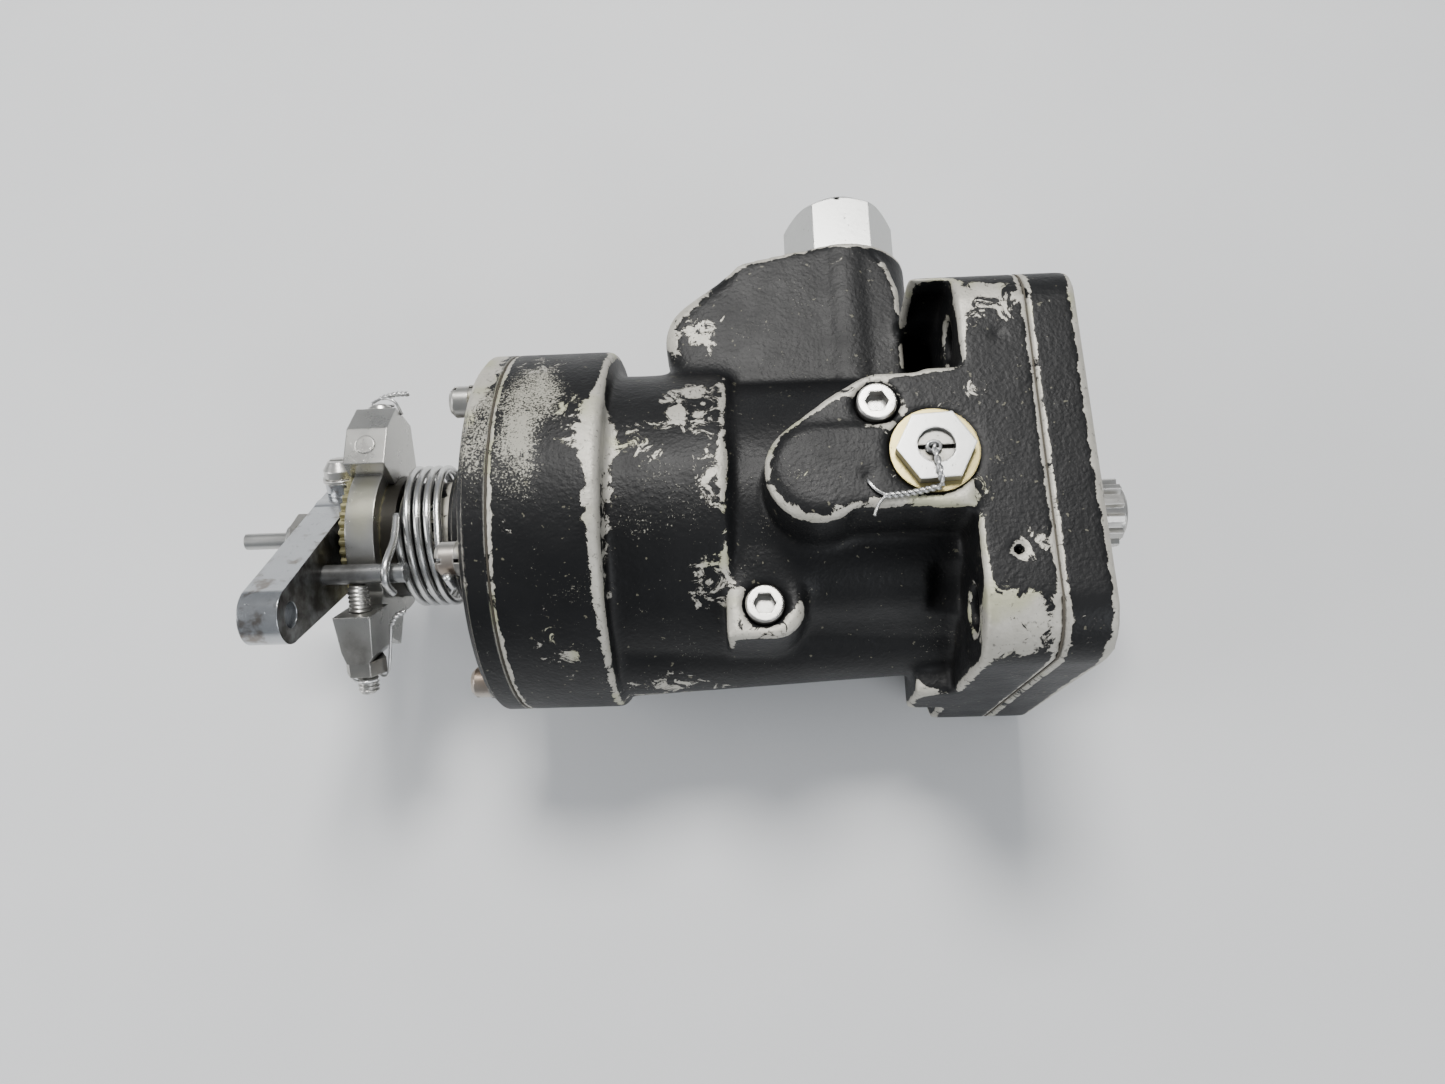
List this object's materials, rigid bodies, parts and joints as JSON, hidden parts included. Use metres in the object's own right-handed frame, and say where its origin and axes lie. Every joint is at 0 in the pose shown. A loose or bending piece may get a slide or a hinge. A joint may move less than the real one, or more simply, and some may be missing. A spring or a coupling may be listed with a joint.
{
  "type": "propeller governor",
  "caption": "Flyweight hydraulic propeller governor: square pad flange with splined drive, round body and cover, side plug, relief valve and sprung control lever with stop screws.",
  "frame": {"origin": "middle of the mounting face, on the drive axis", "axes": "+X along the drive spline out of the mounting face, +Z out of the flat front face with the relief valve, +Y towards the side plug"},
  "size_m": [0.18, 0.1074, 0.0787],
  "materials": {
    "black_paint": "satin black paint over cast aluminium, chipped to bare metal",
    "cover_paint": "black paint worn through to speckled bare aluminium",
    "gasket": "dark compressed fibre gasket",
    "steel_bright": "bright plated steel",
    "steel_plug": "bright machined plug",
    "steel_dark": "dull oily steel",
    "steel_lever": "ground steel with dark oily faces",
    "steel_coppery": "plated steel gone brown",
    "spring_wire": "drawn spring wire",
    "chromate": "gold chromate washer",
    "bronze": "oiled bronze bushing",
    "aged_brass": "yellowish serrated collar",
    "seal_rubber": "black seal"
  },
  "bodies": {
    "root": {"casting_flange": "black_paint", "casting_webs": "black_paint", "casting_barrel": "black_paint", "base_plate": "black_paint", "cover": "cover_paint", "cover_gasket": "gasket", "base_gasket": "gasket", "cover_screws": "steel_coppery", "cover_lock_washers": "steel_dark", "base_screws": "steel_dark", "relief_plug": "steel_bright", "relief_plug_washer": "chromate", "relief_spring": "spring_wire", "relief_adjuster": "steel_dark", "side_plug": "steel_plug", "side_plug_seal": "seal_rubber", "check_spring": "spring_wire", "passage_screws": "steel_bright", "base_bushing": "bronze", "body_bushing": "bronze", "idler_post": "steel_dark", "speeder_spring": "spring_wire", "seat_guide_pin": "steel_bright", "control_bushing": "bronze", "control_seal": "seal_rubber", "serrated_collar": "aged_brass", "stop_arm": "steel_dark", "high_stop_screw": "steel_bright", "low_stop_screw": "steel_dark", "stop_jam_nut": "steel_dark", "stop_arm_pin": "steel_dark", "lever_spring": "spring_wire"},
    "drive_head": {"drive_shaft": "steel_dark", "drive_gear": "steel_dark", "flyweight_carrier": "steel_dark", "flyweight_pins": "steel_bright"},
    "idler": {"idler_gear": "steel_dark"},
    "flyweight_a": {"flyweight_1": "steel_dark"},
    "flyweight_b": {"flyweight_2": "steel_dark"},
    "pilot": {"pilot_valve": "steel_bright", "thrust_bearing": "steel_bright", "lower_spring_seat": "steel_dark"},
    "upper_seat": {"upper_spring_seat": "steel_dark"},
    "lever": {"control_shaft": "steel_bright", "control_lever": "steel_lever", "lever_clamp_screw": "steel_bright", "lever_tab_washer": "steel_bright", "lever_nut": "steel_dark", "spring_post": "steel_lever"},
    "relief": {"relief_plunger": "steel_bright"},
    "check": {"check_ball": "steel_bright"}
  },
  "joints": [
    {"name": "drive_spin", "type": "hinge", "parent": "root", "child": "drive_head", "pos_m": [0, 0, 0], "axis": [1, 0, 0], "continuous": true},
    {"name": "idler_spin", "type": "hinge", "parent": "root", "child": "idler", "pos_m": [0, 0, -0.02], "axis": [1, 0, 0], "continuous": true},
    {"name": "flyweight_1_swing", "type": "hinge", "parent": "drive_head", "child": "flyweight_a", "pos_m": [-0.054, 0.0125, 0], "axis": [0, 0, -1], "range_deg": [-4, 9]},
    {"name": "flyweight_2_swing", "type": "hinge", "parent": "drive_head", "child": "flyweight_b", "pos_m": [-0.054, -0.0125, 0], "axis": [0, 0, 1], "range_deg": [-4, 9]},
    {"name": "pilot_slide", "type": "slide", "parent": "root", "child": "pilot", "axis": [-1, 0, 0], "range_m": [-0.0006, 0.0012], "deforming": ["speeder_spring"]},
    {"name": "lever_turn", "type": "hinge", "parent": "root", "child": "lever", "pos_m": [-0.1436, 0, 0], "axis": [-1, 0, 0], "range_deg": [0, 58], "deforming": ["lever_spring"]},
    {"name": "seat_slide", "type": "slide", "parent": "root", "child": "upper_seat", "axis": [-1, 0, 0], "range_m": [0, 0.0051], "deforming": ["speeder_spring"]},
    {"name": "relief_slide", "type": "slide", "parent": "root", "child": "relief", "axis": [0, 0, 1], "range_m": [0, 0.003], "stiffness_N_per_m": 2000, "springref_m": -0.001, "deforming": ["relief_spring"]},
    {"name": "check_slide", "type": "slide", "parent": "root", "child": "check", "axis": [0, 1, 0], "range_m": [0, 0.003], "stiffness_N_per_m": 200, "springref_m": -0.001, "deforming": ["check_spring"]}
  ],
  "couplings": [
    {"joint": "idler_spin", "follows": "drive_spin", "ratio": -1},
    {"joint": "flyweight_2_swing", "follows": "flyweight_1_swing", "ratio": 1},
    {"joint": "pilot_slide", "follows": "flyweight_1_swing", "m_per_rad": 0.007},
    {"joint": "seat_slide", "follows": "lever_turn", "m_per_rad": 0.004775}
  ]
}
